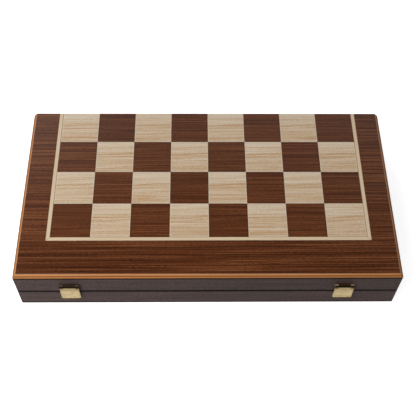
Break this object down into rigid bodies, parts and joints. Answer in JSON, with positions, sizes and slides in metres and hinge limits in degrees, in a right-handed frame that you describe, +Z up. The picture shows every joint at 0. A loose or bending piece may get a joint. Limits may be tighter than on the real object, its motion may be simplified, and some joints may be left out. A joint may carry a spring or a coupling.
{
  "type": "chess and backgammon board",
  "caption": "Folding wooden games case with a veneered chess board outside, backgammon points inside, brass butt hinges at the back and brass flap latches at the front.",
  "frame": {"origin": "centre of the closed case's underside", "axes": "+X along the hinge line to the right, +Y from the latches to the hinges, +Z up through the lid"},
  "size_m": [0.4806, 0.264, 0.076],
  "materials": {
    "walnut_veneer": "satin varnished walnut veneer",
    "oak_veneer": "satin varnished pale oak veneer",
    "mahogany_veneer": "satin varnished red-brown veneer",
    "plywood": "varnished three-ply edge",
    "stained_rail": "dark stained satin wood",
    "brass": "polished brass sheet"
  },
  "bodies": {
    "base": {"base_back_rail": "stained_rail", "base_dark_points": "mahogany_veneer", "base_dark_squares": "walnut_veneer", "base_field_ground": "walnut_veneer", "base_front_border": "walnut_veneer", "base_front_rail": "stained_rail", "base_front_string": "oak_veneer", "base_hinge_screws": "brass", "base_latch_screws": "brass", "base_left_border": "walnut_veneer", "base_left_rail": "stained_rail", "base_left_string": "oak_veneer", "base_light_points": "oak_veneer", "base_light_squares": "oak_veneer", "base_panel": "plywood", "base_right_border": "walnut_veneer", "base_right_rail": "stained_rail", "base_right_string": "oak_veneer", "left_hinge_base_leaf": "brass", "left_hinge_pin": "brass", "left_latch_catch": "brass", "right_hinge_base_leaf": "brass", "right_hinge_pin": "brass", "right_latch_catch": "brass"},
    "lid": {"left_hinge_lid_leaf": "brass", "left_latch_pin": "brass", "left_latch_plate": "brass", "lid_back_rail": "stained_rail", "lid_dark_points": "mahogany_veneer", "lid_dark_squares": "walnut_veneer", "lid_field_ground": "walnut_veneer", "lid_front_border": "walnut_veneer", "lid_front_rail": "stained_rail", "lid_front_string": "oak_veneer", "lid_hinge_screws": "brass", "lid_latch_screws": "brass", "lid_left_border": "walnut_veneer", "lid_left_rail": "stained_rail", "lid_left_string": "oak_veneer", "lid_light_points": "oak_veneer", "lid_light_squares": "oak_veneer", "lid_panel": "plywood", "lid_right_border": "walnut_veneer", "lid_right_rail": "stained_rail", "lid_right_string": "oak_veneer", "right_hinge_lid_leaf": "brass", "right_latch_pin": "brass", "right_latch_plate": "brass"},
    "left_latch_flap": {"left_latch_flap": "brass"},
    "right_latch_flap": {"right_latch_flap": "brass"}
  },
  "joints": [
    {"name": "lid_hinge", "type": "hinge", "parent": "base", "child": "lid", "pos_m": [0, 0.12815, 0.038], "axis": [-1, 0, 0], "range_deg": [0, 180]},
    {"name": "left_flap_hinge", "type": "hinge", "parent": "lid", "child": "left_latch_flap", "pos_m": [-0.1728, -0.13045, 0.0544], "axis": [-1, 0, 0], "range_deg": [0, 140]},
    {"name": "right_flap_hinge", "type": "hinge", "parent": "lid", "child": "right_latch_flap", "pos_m": [0.1699, -0.13045, 0.0544], "axis": [-1, 0, 0], "range_deg": [0, 140]}
  ]
}
